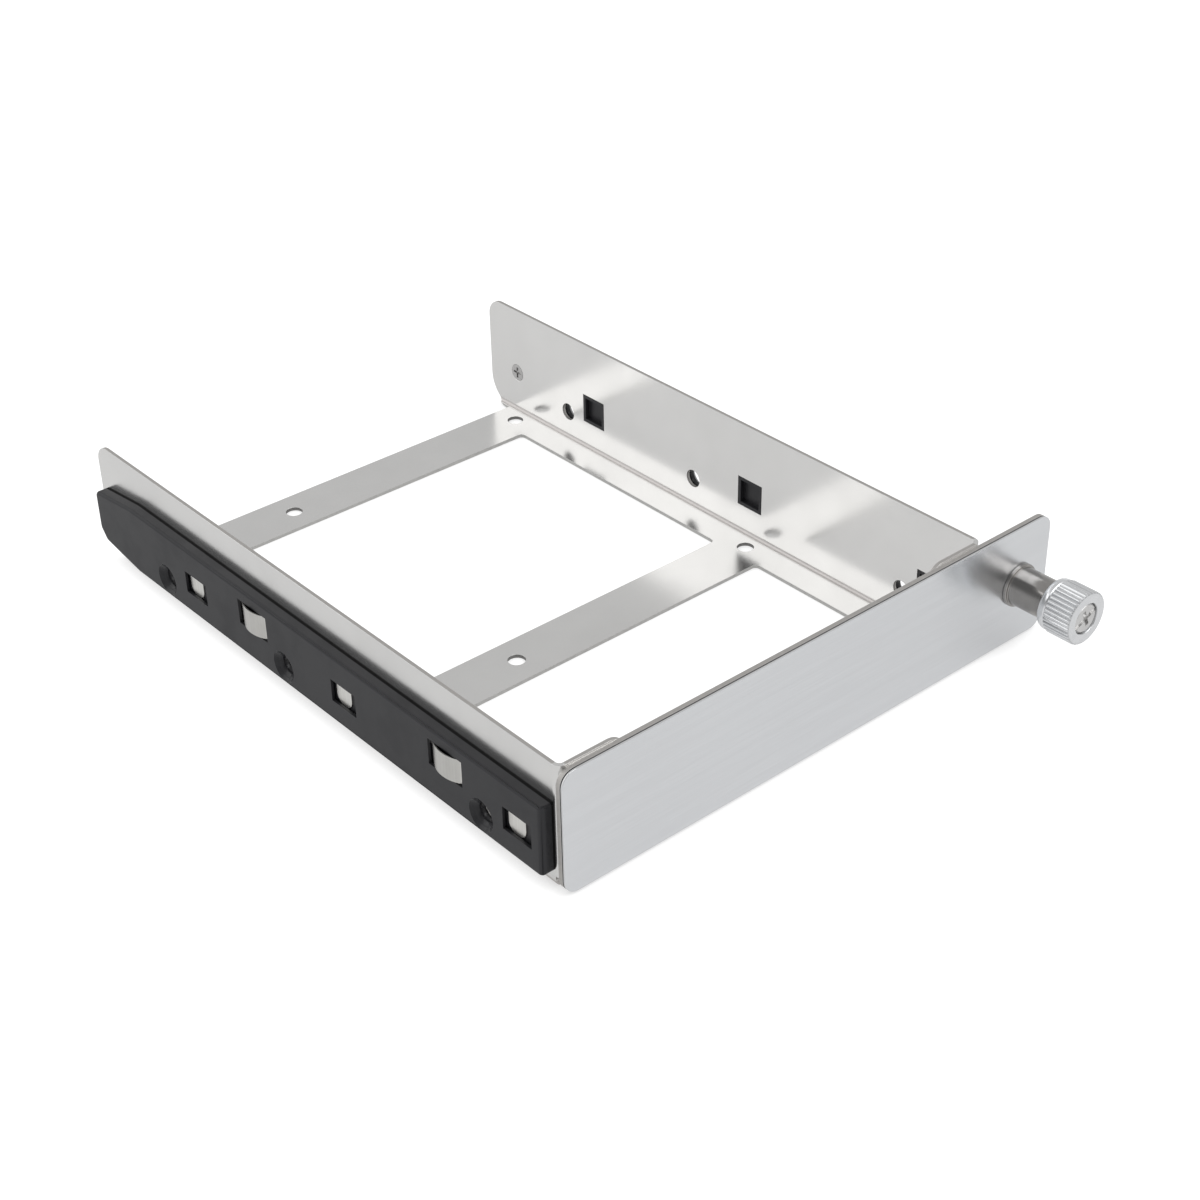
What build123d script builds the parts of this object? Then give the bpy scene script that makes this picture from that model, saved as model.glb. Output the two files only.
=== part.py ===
from build123d import *
import os

# A hot swap drive caddy: a folded steel tray between two guide rails, with a front panel and
# a captive thumbscrew. X runs across the tray, +Y goes back into the bay and +Z is up.
# The origin is on the underside of the middle strap, on the centre line between the walls and
# in line with the front pair of 2.5 inch drive holes.

# Drive hole standards, with each length back from the plane of the drive's connector
drive35_width = 101.6
drive35_hole_height = 6.35
drive35_hole_setbacks = (28.5, 70.1, 130.1)
drive25_pitch_x = 61.72
drive25_pitch_y = 76.6
drive25_side_inset = 4.07
drive25_setback = 14.0

# Folded tray
sheet = 0.8
bend_inside = 0.9
bay_clearance = 0.2
wall_height = 25.4
tray_setback = 0.7
strap_width = 12.4
ledge_width = 7.1
cutout_radius = 1.0
wall_top_radius = 4.0
flange_length = 14.9
flange_radius = 4.0
flange_lift = 2.5
side_hole_diameter = 4.0
base_hole_diameter = 3.6

# Front panel: a steel plate, a bonding sheet and a brushed fascia
panel_setback = 57.75
panel_lift = 0.4
panel_height = 25.4
panel_overhang_left = 0.7
panel_overhang_right = 18.4
panel_radius = 3.0
plate_thickness = 1.0
bond_thickness = 0.2
fascia_thickness = 0.4
rivet_diameter = 2.4
rivet_head_diameter = 4.6
rivet_head_front = 0.15
rivet_head_back = 0.5
rivet_pitch = 12.6
rivet_clearance = 0.1

# Guide rails, each a base moulding inside a cover with a skirt, with a spring strip between them
rail_base_thickness = 2.0
rail_cover_thickness = 0.6
rail_bottom = 3.3
rail_height = 14.8
rail_rear_setback = 1.3
rail_bottom_taper = 14.6
rail_bottom_rise = 2.0
rail_heel_length = 2.0
rail_heel_rise = 4.5
rail_top_taper = 14.1
rail_top_drop = 1.7
rail_corner_radius = 1.4
rail_nose_radius = 1.2
cover_bevel = 0.4
cover_skirt = 0.7
skirt_clearance = 0.05
countersink_diameter = 6.6
pocket_depth = 0.35
pocket_margin = 0.9
pillar_diameter = 8.6
snap_count = 3
snap_front_margin = 9.25
snap_rear_margin = 36.7
snap_height = 10.35
snap_window_length = 7.0
snap_window_height = 6.8
snap_clearance = 0.1
snap_rim = 0.7
snap_recess = 1.1

# Spring strip and the windows that it shows through
strip_thickness = 0.25
strip_clearance = 0.2
band_low = 15.7
band_height = 1.4
band_end_margin = 3.0
pad_window_offset = -2.6
pad_window_length = 7.6
pad_window_height = 4.75
pad_offset = 0.7
pad_width = 4.6
pad_foot_radius = 2.1
pad_low = 7.9
bow_hole_offset = 9.6
bow_window_length = 9.5
bow_window_height = 5.5
bow_window_centre = 12.9
bow_clearance = 0.2
bow_reach = 0.65
bow_tip_depth = 0.75
bow_front_length = 3.9
bow_rear_length = 4.2
bow_neck_length = 2.2
bow_neck_drop = 1.2

# Rail fixing screws, driven from inside the tray
fixing_setback = 9.6
fixing_height = 10.3
fixing_shank_diameter = 2.2
fixing_head_diameter = 4.0
fixing_length = 2.2
fixing_clearance = 0.05
fixing_slot_length = 2.6
fixing_slot_width = 0.5
fixing_slot_depth = 0.45

# Captive thumbscrew: lengths forward of the fascia
screw_inset = 8.3
ferrule_collar_radius = 4.5
ferrule_collar_thickness = 0.8
ferrule_radius = 4.0
ferrule_length = 9.3
ferrule_neck_radius = 3.6
ferrule_lip_radius = 4.1
ferrule_lip = 0.5
ferrule_bore_radius = 3.1
ferrule_floor = 0.6
panel_hole_clearance = 0.05
knob_standoff = 8.5
knob_length = 8.0
knob_radius = 5.5
knob_collar_radius = 5.3
knob_collar_length = 1.3
knob_bevel = 0.7
knob_bore_clearance = 0.15
knob_floor = 2.0
knurl_count = 36
knurl_side = 0.44
head_radius = 3.15
head_height = 1.0
head_recess = 1.2
head_clearance = 0.05
head_dome = 0.35
slot_length = 9.0
slot_width = 0.9
slot_depth = 0.35
cross_length = 3.6
cross_depth = 0.6
slot_turn = 23
thread_radius = 1.75
thread_length = 5.0
shank_clearance = 0.08
groove_radius = 1.35
ring_radius = 3.0
ring_thickness = 0.6
ring_slot = 2.3
ring_play = 0.05
spring_wire_radius = 0.22
spring_coil_radius = 2.45
spring_turns = 6
spring_end_gap = 0.05

# Places worked out from the sizes above
connector_y = drive25_pitch_y + drive25_setback
side_hole_y = [connector_y - setback for setback in drive35_hole_setbacks]
side_hole_z = sheet + drive35_hole_height
bay_half = drive35_width / 2 + bay_clearance
wall_out = bay_half + sheet
wall_top = sheet + wall_height
bend_outside = bend_inside + sheet
tray_rear = connector_y - tray_setback
strap_half = strap_width / 2
base_rear = drive25_pitch_y + strap_half
ledge_x = bay_half - ledge_width
panel_back = -panel_setback
wall_front = panel_back + bend_outside
drive25_x = bay_half - drive25_side_inset - drive25_pitch_x / 2
snap_rear = tray_rear - snap_rear_margin
snap_pitch = (snap_rear - wall_front - snap_front_margin) / (snap_count - 1)
snap_y = [snap_rear - index * snap_pitch for index in range(snap_count)]
fixing_y = tray_rear - fixing_setback

panel_left = -wall_out - panel_overhang_left
panel_right = wall_out + panel_overhang_right
panel_x = (panel_left + panel_right) / 2
panel_z = panel_lift + panel_height / 2
bond_back = panel_back - plate_thickness
fascia_back = bond_back - bond_thickness
face_y = fascia_back - fascia_thickness
rivet_x = wall_out - flange_length / 2

rail_front = wall_front
rail_rear = tray_rear - rail_rear_setback
rail_top = rail_bottom + rail_height
cover_in = wall_out + rail_base_thickness
rail_out = cover_in + rail_cover_thickness
pocket_floor = cover_in - pocket_depth
pad_window_y = [y + pad_window_offset for y in snap_y]
bow_window_y = [y + bow_hole_offset for y in side_hole_y[1:]]
bow_low = bow_window_centre - bow_window_height / 2 + bow_clearance
bow_high = bow_window_centre + bow_window_height / 2 - bow_clearance
band_rear = pad_window_y[0] + pad_window_length / 2
band_front = rail_front + band_end_margin

screw_x = panel_right - screw_inset
screw_z = panel_z
knob_front = knob_standoff + knob_length
knob_inner = knob_front - knob_floor
panel_thickness = plate_thickness + bond_thickness + fascia_thickness
ferrule_rear = panel_thickness + ferrule_lip
shank_bore_radius = thread_radius + shank_clearance
screw_axis = Axis((screw_x, face_y, screw_z), (0, 1, 0))
screw_side = Plane(origin=(screw_x, face_y, screw_z), x_dir=(1, 0, 0), z_dir=(0, 0, 1))
all_through = 2 * (wall_out + 1)

os.makedirs("parts", exist_ok=True)


# Tray: one folded sheet with two walls, four ledges and straps, and two front flanges
with BuildPart() as tray:
    with BuildSketch(Plane.XZ.offset(-tray_rear)):
        with BuildLine():
            FilletPolyline(
                (-wall_out, wall_top),
                (-wall_out, 0),
                (wall_out, 0),
                (wall_out, wall_top),
                radius=bend_outside,
            )
            offset(amount=sheet, side=Side.LEFT)
        make_face()
    extrude(amount=tray_rear - wall_front)
    # Front apron that reaches the panel between the two wall bends
    with BuildSketch():
        with Locations((0, panel_back)):
            Rectangle(2 * (bay_half - bend_inside), 2 * bend_outside, align=(Align.CENTER, Align.MIN))
    extrude(amount=sheet)
    # Front flanges, each a bend and a plate with rounded free corners
    for side in (-1, 1):
        corner = (side * wall_out, panel_back)
        with BuildSketch(Plane.XY.offset(flange_lift)):
            with BuildLine():
                FilletPolyline(
                    (side * wall_out, wall_front + sheet),
                    corner,
                    (side * (wall_out - bend_outside - sheet), panel_back),
                    radius=bend_outside,
                )
                offset(amount=sheet, side=Side.LEFT if side < 0 else Side.RIGHT)
            make_face()
        extrude(amount=wall_top - flange_lift)
        flange_end = side * (wall_out - flange_length)
        flange_root = side * (wall_out - bend_outside)
        with BuildSketch(Plane.XZ.offset(-panel_back - sheet)) as flange:
            with Locations(((flange_end + flange_root) / 2, (flange_lift + wall_top) / 2)):
                Rectangle(abs(flange_root - flange_end), wall_top - flange_lift)
            fillet(flange.vertices().sort_by(Axis.X, reverse=side < 0)[:2], radius=flange_radius)
        extrude(amount=sheet)
    # Rounded rear corners of both walls, seen from the side
    with BuildSketch(Plane.YZ.offset(-all_through / 2)) as side_view:
        with Locations(((panel_back + tray_rear) / 2, wall_top / 2)):
            Rectangle(tray_rear - panel_back, wall_top)
        rear_corners = side_view.vertices().sort_by(Axis.X)[-2:]
        fillet(rear_corners.sort_by(Axis.Y)[0], radius=tray_rear - base_rear)
        fillet(side_view.vertices().sort_by(Axis.X)[-1], radius=wall_top_radius)
    extrude(amount=all_through, mode=Mode.INTERSECT)
    # Floor cut away behind the rear strap and between the straps and ledges
    with BuildSketch():
        with Locations((0, base_rear)):
            Rectangle(2 * (bay_half - bend_inside), tray_rear, align=(Align.CENTER, Align.MIN))
    extrude(amount=sheet, mode=Mode.SUBTRACT)
    openings = (
        (strap_half, drive25_pitch_y - strap_half),
        (panel_back + strap_width, -strap_half),
    )
    with BuildSketch():
        for low, high in openings:
            with Locations((0, (low + high) / 2)):
                RectangleRounded(2 * ledge_x, high - low, cutout_radius)
    extrude(amount=sheet, mode=Mode.SUBTRACT)
    # Holes for a 2.5 inch drive in the two straps
    with BuildSketch():
        with Locations((drive25_x, drive25_pitch_y / 2)):
            with GridLocations(drive25_pitch_x, drive25_pitch_y, 2, 2):
                Circle(base_hole_diameter / 2)
    extrude(amount=sheet, mode=Mode.SUBTRACT)
    # Holes for a 3.5 inch drive and windows for the snap bosses, through both walls
    with BuildSketch(Plane.YZ.offset(-all_through / 2)):
        with Locations(*[(y, side_hole_z) for y in side_hole_y]):
            Circle(side_hole_diameter / 2)
        with Locations(*[(y, snap_height) for y in snap_y]):
            Rectangle(snap_window_length, snap_window_height)
    extrude(amount=all_through, mode=Mode.SUBTRACT)
    # Countersunk holes for the rail fixing screws
    for side in (-1, 1):
        with Locations(Plane((side * bay_half, fixing_y, fixing_height), z_dir=(-side, 0, 0))):
            CounterSinkHole(
                fixing_shank_diameter / 2 + fixing_clearance,
                fixing_head_diameter / 2 + fixing_clearance,
                depth=2 * sheet,
                counter_sink_angle=90,
            )
    # Rivet holes in the flanges
    with BuildSketch(Plane.XZ.offset(-panel_back - sheet)):
        with Locations((0, panel_z)):
            with GridLocations(2 * rivet_x, rivet_pitch, 2, 2):
                Circle(rivet_diameter / 2)
    extrude(amount=sheet, mode=Mode.SUBTRACT)
tray.part.label = "tray"
export_step(tray.part, "parts/tray.step")

# Outline and thumbscrew hole that the three layers of the front panel share
with BuildSketch() as panel_outline:
    with Locations((panel_x, panel_z)):
        RectangleRounded(panel_right - panel_left, panel_height, panel_radius)
    with Locations((screw_x, screw_z)):
        Circle(ferrule_neck_radius + panel_hole_clearance, mode=Mode.SUBTRACT)

# Steel plate behind the fascia
with BuildPart() as front_plate:
    with BuildSketch(Plane.XZ.offset(-panel_back)):
        add(panel_outline.sketch)
        with Locations((0, panel_z)):
            with GridLocations(2 * rivet_x, rivet_pitch, 2, 2):
                Circle(rivet_diameter / 2, mode=Mode.SUBTRACT)
    extrude(amount=plate_thickness)
front_plate.part.label = "front_plate"
export_step(front_plate.part, "parts/front_plate.step")

# Bonding sheet, pierced round the rivet heads
with BuildPart() as bonding_sheet:
    with BuildSketch(Plane.XZ.offset(-bond_back)):
        add(panel_outline.sketch)
        with Locations((0, panel_z)):
            with GridLocations(2 * rivet_x, rivet_pitch, 2, 2):
                Circle(rivet_head_diameter / 2 + rivet_clearance, mode=Mode.SUBTRACT)
    extrude(amount=bond_thickness)
bonding_sheet.part.label = "bonding_sheet"
export_step(bonding_sheet.part, "parts/bonding_sheet.step")

# Brushed fascia
with BuildPart() as fascia:
    with BuildSketch(Plane.XZ.offset(-fascia_back)):
        add(panel_outline.sketch)
    extrude(amount=fascia_thickness)
fascia.part.label = "fascia"
export_step(fascia.part, "parts/fascia.step")

# Rivets that hold the plate to the flanges
with BuildPart() as panel_rivets:
    rivet_places = [
        (x, panel_z + level * rivet_pitch / 2) for x in (-rivet_x, rivet_x) for level in (-1, 1)
    ]
    with BuildSketch(Plane.XZ.offset(-bond_back)):
        with Locations(*rivet_places):
            Circle(rivet_head_diameter / 2)
    extrude(amount=rivet_head_front)
    with BuildSketch(Plane.XZ.offset(-bond_back)):
        with Locations(*rivet_places):
            Circle(rivet_diameter / 2)
    extrude(amount=-plate_thickness - sheet)
    with BuildSketch(Plane.XZ.offset(-panel_back - sheet)):
        with Locations(*rivet_places):
            Circle(rivet_head_diameter / 2)
    extrude(amount=-rivet_head_back, taper=20)
panel_rivets.part.label = "panel_rivets"
export_step(panel_rivets.part, "parts/panel_rivets.step")

# Side view of a guide rail, with the lead-in at its rear end
with BuildSketch() as rail_outline:
    with BuildLine():
        Polyline(
            (rail_front, rail_bottom),
            (rail_rear - rail_bottom_taper, rail_bottom),
            (rail_rear - rail_heel_length, rail_bottom + rail_bottom_rise),
            (rail_rear, rail_bottom + rail_heel_rise),
            (rail_rear, rail_top - rail_top_drop),
            (rail_rear - rail_top_taper, rail_top),
            (rail_front, rail_top),
            close=True,
        )
    make_face()
    rear_top_corner = rail_outline.vertices().sort_by(Axis.Y)[4]
    fillet(rear_top_corner, radius=rail_nose_radius)
    fillet(rail_outline.vertices().sort_by(Axis.Y)[:4], radius=rail_corner_radius)

# Side view of the spring strip's hanging band, pads and bow roots
with BuildSketch() as strip_outline:
    with Locations(((band_front + band_rear) / 2, band_low + band_height / 2)):
        Rectangle(band_rear - band_front, band_height)
    for y in pad_window_y:
        with Locations((y + pad_offset, (pad_low + band_low) / 2)):
            Rectangle(pad_width, band_low - pad_low)
    fillet(strip_outline.vertices().group_by(Axis.Y)[0], radius=pad_foot_radius)
    for y in bow_window_y:
        with Locations((y + bow_rear_length, bow_high - bow_neck_drop)):
            Rectangle(bow_neck_length, band_low - bow_high + bow_neck_drop, align=Align.MIN)

# Side view of the pocket that the strip lies in, open at the top and cut round the drive holes
with BuildSketch() as pocket_outline:
    pocket_low = pad_low - pocket_margin
    with Locations(((band_front + band_rear) / 2, (pocket_low + rail_top) / 2)):
        Rectangle(band_rear - band_front + 2 * pocket_margin, rail_top - pocket_low)
    with Locations(*[(y, side_hole_z) for y in side_hole_y]):
        Circle(pillar_diameter / 2, mode=Mode.SUBTRACT)
    add(offset(strip_outline.sketch, amount=strip_clearance, mode=Mode.PRIVATE))

drive_hole_planes = [
    Plane((-rail_out, y, side_hole_z), z_dir=(-1, 0, 0)) for y in side_hole_y
]

# Rail base: the moulding against the wall, with snap bosses and the pocket for the strip
with BuildPart() as left_rail_base:
    with BuildSketch(Plane.YZ.offset(-cover_in)):
        add(rail_outline.sketch)
        offset(amount=-cover_skirt - skirt_clearance)
    extrude(amount=rail_base_thickness)
    with BuildSketch(Plane.YZ.offset(-cover_in)):
        add(pocket_outline.sketch)
    extrude(amount=pocket_depth, mode=Mode.SUBTRACT)
    boss_length = snap_window_length - 2 * snap_clearance
    boss_height = snap_window_height - 2 * snap_clearance
    with BuildSketch(Plane.YZ.offset(-wall_out)):
        with Locations(*[(y, snap_height) for y in snap_y]):
            Rectangle(boss_length, boss_height)
    extrude(amount=sheet)
    with BuildSketch(Plane.YZ.offset(-bay_half)):
        with Locations(*[(y, snap_height) for y in snap_y]):
            Rectangle(boss_length - 2 * snap_rim, boss_height - 2 * snap_rim)
    extrude(amount=-snap_recess, mode=Mode.SUBTRACT)
    with Locations(*drive_hole_planes):
        CounterSinkHole(
            side_hole_diameter / 2,
            countersink_diameter / 2,
            depth=rail_out - bay_half,
            counter_sink_angle=90,
        )
    with Locations(Plane((-wall_out, fixing_y, fixing_height), z_dir=(1, 0, 0))):
        Hole(fixing_shank_diameter / 2 + fixing_clearance, depth=rail_base_thickness)
left_rail_base.part.label = "left_rail_base"
export_step(left_rail_base.part, "parts/left_rail_base.step")

# Rail cover: a thin bevelled face with a skirt round the base and windows for the pads and bows
with BuildPart() as left_rail_cover:
    with BuildSketch(Plane.YZ.offset(-rail_out)):
        add(rail_outline.sketch)
    extrude(amount=rail_out - wall_out)
    chamfer(left_rail_cover.faces().sort_by(Axis.X)[0].outer_wire().edges(), length=cover_bevel)
    with BuildSketch(Plane.YZ.offset(-cover_in)):
        add(rail_outline.sketch)
        offset(amount=-cover_skirt)
    extrude(amount=rail_base_thickness, mode=Mode.SUBTRACT)
    with BuildSketch(Plane.YZ.offset(-rail_out)):
        with Locations(*[(y, snap_height) for y in pad_window_y]):
            Rectangle(pad_window_length, pad_window_height)
        with Locations(*[(y, bow_window_centre) for y in bow_window_y]):
            Rectangle(bow_window_length, bow_window_height)
    extrude(amount=rail_cover_thickness, mode=Mode.SUBTRACT)
    with Locations(*drive_hole_planes):
        CounterSinkHole(
            side_hole_diameter / 2,
            countersink_diameter / 2,
            depth=rail_cover_thickness,
            counter_sink_angle=90,
        )
left_rail_cover.part.label = "left_rail_cover"
export_step(left_rail_cover.part, "parts/left_rail_cover.step")

# Spring strip: one stamping with flat pads and two bows that stand out of the cover
with BuildPart() as left_spring_strip:
    with BuildSketch(Plane.YZ.offset(-pocket_floor - strip_thickness)):
        add(strip_outline.sketch)
    extrude(amount=strip_thickness)
    for y in bow_window_y:
        with BuildSketch(Plane.XY.offset(bow_low)):
            with BuildLine():
                ThreePointArc(
                    (-pocket_floor, y + bow_rear_length),
                    (-rail_out - bow_reach + strip_thickness, y),
                    (-rail_out + bow_tip_depth, y - bow_front_length),
                )
                offset(amount=strip_thickness, side=Side.RIGHT)
            make_face()
        extrude(amount=bow_high - bow_low)
left_spring_strip.part.label = "left_spring_strip"
export_step(left_spring_strip.part, "parts/left_spring_strip.step")

# Rail fixing screw: countersunk head flush with the inside of the wall
with BuildPart() as left_rail_screw:
    with BuildSketch(Plane((0, fixing_y, fixing_height))):
        with BuildLine():
            Polyline(
                (-bay_half, 0),
                (-bay_half, fixing_head_diameter / 2),
                (-bay_half - (fixing_head_diameter - fixing_shank_diameter) / 2, fixing_shank_diameter / 2),
                (-bay_half - fixing_length, fixing_shank_diameter / 2),
                (-bay_half - fixing_length, 0),
                close=True,
            )
        make_face()
    revolve(axis=Axis((0, fixing_y, fixing_height), (1, 0, 0)))
    with BuildSketch(Plane((-bay_half, fixing_y, fixing_height), x_dir=(0, 1, 0), z_dir=(1, 0, 0))):
        Rectangle(fixing_slot_width, fixing_slot_length)
        Rectangle(fixing_slot_length, fixing_slot_width)
    extrude(amount=-fixing_slot_depth, mode=Mode.SUBTRACT)
left_rail_screw.part.label = "left_rail_screw"
export_step(left_rail_screw.part, "parts/left_rail_screw.step")

# Right side: mirror images of the rail pieces
for name, left_piece in (
    ("right_rail_base", left_rail_base),
    ("right_rail_cover", left_rail_cover),
    ("right_spring_strip", left_spring_strip),
    ("right_rail_screw", left_rail_screw),
):
    with BuildPart() as right_piece:
        mirror(left_piece.part, about=Plane.YZ)
    right_piece.part.label = name
    export_step(right_piece.part, f"parts/{name}.step")

# Ferrule: turned guide pressed into the panel, with a lip behind the plate
with BuildPart() as ferrule:
    with BuildSketch(screw_side):
        with BuildLine():
            Polyline(
                (shank_bore_radius, ferrule_rear),
                (ferrule_lip_radius, ferrule_rear),
                (ferrule_lip_radius, panel_thickness),
                (ferrule_neck_radius, panel_thickness),
                (ferrule_neck_radius, 0),
                (ferrule_collar_radius, 0),
                (ferrule_collar_radius, -ferrule_collar_thickness),
                (ferrule_radius, -ferrule_collar_thickness),
                (ferrule_radius, -ferrule_length),
                (ferrule_bore_radius, -ferrule_length),
                (ferrule_bore_radius, -ferrule_floor),
                (shank_bore_radius, -ferrule_floor),
                close=True,
            )
        make_face()
    revolve(axis=screw_axis)
ferrule.part.label = "ferrule"
export_step(ferrule.part, "parts/ferrule.step")

# Knob: a cup that slides over the ferrule, straight knurled between a collar and a bevel
with BuildPart() as thumbscrew_knob:
    bore_radius = ferrule_radius + knob_bore_clearance
    with BuildSketch(screw_side):
        with BuildLine():
            Polyline(
                (bore_radius, -knob_standoff),
                (knob_collar_radius - knob_bevel / 2, -knob_standoff),
                (knob_collar_radius, -knob_standoff - knob_bevel / 2),
                (knob_collar_radius, -knob_standoff - knob_collar_length),
                (knob_radius, -knob_standoff - knob_collar_length),
                (knob_radius, -knob_front + knob_bevel),
                (knob_radius - knob_bevel, -knob_front),
                (head_radius + head_clearance, -knob_front),
                (head_radius + head_clearance, -knob_front + head_recess),
                (shank_bore_radius, -knob_front + head_recess),
                (shank_bore_radius, -knob_inner),
                (bore_radius, -knob_inner),
                close=True,
            )
        make_face()
    revolve(axis=screw_axis)
    knurl_start = face_y - knob_standoff - knob_collar_length
    knurl_length = knob_length - knob_collar_length - knob_bevel
    with BuildSketch(Plane((screw_x, knurl_start, screw_z), x_dir=(1, 0, 0), z_dir=(0, -1, 0))):
        with PolarLocations(knob_radius, knurl_count):
            Rectangle(knurl_side, knurl_side, rotation=45)
    extrude(amount=knurl_length, mode=Mode.SUBTRACT)
thumbscrew_knob.part.label = "thumbscrew_knob"
export_step(thumbscrew_knob.part, "parts/thumbscrew_knob.step")

# Captive screw: domed head with a cross recess, plain shank, ring groove and threaded tip
with BuildPart() as captive_screw:
    head_back = -knob_front + head_recess
    groove_start = ferrule_rear + ring_play
    groove_end = groove_start + ring_thickness + ring_play
    screw_end = groove_end + thread_length
    with BuildSketch(screw_side):
        with BuildLine():
            Polyline(
                (0, head_back - head_height),
                (head_radius - head_dome, head_back - head_height),
                (head_radius, head_back - head_height + head_dome),
                (head_radius, head_back),
                (thread_radius, head_back),
                (thread_radius, groove_start),
                (groove_radius, groove_start),
                (groove_radius, groove_end),
                (thread_radius, groove_end),
                (thread_radius, screw_end - head_dome),
                (thread_radius - head_dome, screw_end),
                (0, screw_end),
                close=True,
            )
        make_face()
    revolve(axis=screw_axis)
    head_face = face_y + head_back - head_height
    head_plane = Plane((screw_x, head_face, screw_z), x_dir=(1, 0, 0), z_dir=(0, -1, 0))
    with BuildSketch(head_plane):
        Rectangle(slot_length, slot_width, rotation=slot_turn)
    extrude(amount=-slot_depth, mode=Mode.SUBTRACT)
    with BuildSketch(head_plane):
        Rectangle(cross_length, slot_width, rotation=slot_turn)
        Rectangle(slot_width, cross_length, rotation=slot_turn)
    extrude(amount=-cross_depth, mode=Mode.SUBTRACT)
captive_screw.part.label = "captive_screw"
export_step(captive_screw.part, "parts/captive_screw.step")

# Retaining ring in the screw's groove, open on one side
with BuildPart() as retaining_ring:
    ring_bore = groove_radius + ring_play
    with BuildSketch(Plane((screw_x, face_y + groove_start, screw_z), x_dir=(1, 0, 0), z_dir=(0, -1, 0))):
        Circle(ring_radius)
        Circle(ring_bore, mode=Mode.SUBTRACT)
        with Locations((0, -ring_radius)):
            Rectangle(ring_slot, 2 * ring_radius, mode=Mode.SUBTRACT)
    extrude(amount=-ring_thickness)
retaining_ring.part.label = "retaining_ring"
export_step(retaining_ring.part, "parts/retaining_ring.step")

# Return spring between the ferrule's floor and the knob
with BuildPart() as return_spring:
    spring_back = -ferrule_floor - spring_end_gap - spring_wire_radius
    spring_front = -knob_inner + spring_end_gap + spring_wire_radius
    spring_length = spring_back - spring_front
    with BuildLine() as coil:
        Helix(
            pitch=spring_length / spring_turns,
            height=spring_length,
            radius=spring_coil_radius,
            center=(screw_x, face_y + spring_back, screw_z),
            direction=(0, -1, 0),
        )
    with BuildSketch(Plane(origin=coil.line @ 0, z_dir=coil.line % 0)):
        RegularPolygon(spring_wire_radius, 8)
    sweep(is_frenet=True)
return_spring.part.label = "return_spring"
export_step(return_spring.part, "parts/return_spring.step")
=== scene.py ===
"""Looks of a hot swap drive caddy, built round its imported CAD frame.

X runs across the tray, +Y goes back into the bay and +Z is up. Sizes are in millimetres, and
meshes are written in metres. Most pieces keep their CAD solids, with their edges softened. The rail
covers are cut from theirs with rounder ends, and the screw's head from its own. The knob, the
thread, the return spring and the rivets are made here.
"""

import logging
import math
from dataclasses import dataclass
from enum import Enum
from typing import Callable, Optional, Sequence, Union

import bmesh
import bpy
from mathutils import Matrix, Vector


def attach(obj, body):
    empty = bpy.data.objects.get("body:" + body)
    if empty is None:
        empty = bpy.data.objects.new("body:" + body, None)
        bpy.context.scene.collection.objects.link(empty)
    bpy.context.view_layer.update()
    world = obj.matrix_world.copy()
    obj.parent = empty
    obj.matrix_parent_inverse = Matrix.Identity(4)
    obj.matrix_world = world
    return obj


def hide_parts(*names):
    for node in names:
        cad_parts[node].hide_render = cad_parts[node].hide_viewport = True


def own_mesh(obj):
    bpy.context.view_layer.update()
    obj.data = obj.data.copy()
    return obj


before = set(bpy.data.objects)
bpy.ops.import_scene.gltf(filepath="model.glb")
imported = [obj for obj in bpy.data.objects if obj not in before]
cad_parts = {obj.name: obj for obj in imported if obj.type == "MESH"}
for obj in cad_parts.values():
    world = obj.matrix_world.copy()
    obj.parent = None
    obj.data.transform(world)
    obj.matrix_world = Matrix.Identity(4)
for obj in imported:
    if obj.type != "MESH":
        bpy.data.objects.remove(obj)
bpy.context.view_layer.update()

MM = 0.001
log = logging.getLogger("drive_caddy")

Colour = tuple[float, float, float]
Point = tuple[float, float, float]
Profile = Sequence[tuple[float, float]]

WHITE = (1.0, 1.0, 1.0, 1.0)
MERGE_MM = 0.001
FLAT_ANGLE = math.radians(0.5)


def darker(colour: Colour, share: float) -> Colour:
    """A colour at a share of its strength."""
    return tuple(share * part for part in colour)


class Slot(Enum):
    """The record's material slots."""

    STAINLESS = "stainless_steel"
    FASCIA = "brushed_fascia"
    BOND = "bond_black"
    RIVET = "rivet_steel"
    PLASTIC = "rail_plastic"
    SPRING = "spring_steel"
    SCREW = "screw_steel"
    NICKEL = "polished_nickel"
    KNOB = "knob_metal"


class Body(Enum):
    """The bodies that a piece may ride on."""

    CADDY = "caddy"
    THUMBSCREW = "thumbscrew"


class Side(Enum):
    """The two sides of the tray, with the sign of their X."""

    LEFT = -1
    RIGHT = 1


class Grain(Enum):
    """Directions that a finish's fine lines may run in, as the share of change along X, Y and Z."""

    ALONG_X = (0.02, 1.0, 1.0)
    ALONG_Y = (1.0, 0.02, 1.0)
    ALONG_Z = (1.0, 1.0, 0.03)
    EVEN = (1.0, 1.0, 1.0)


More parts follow.
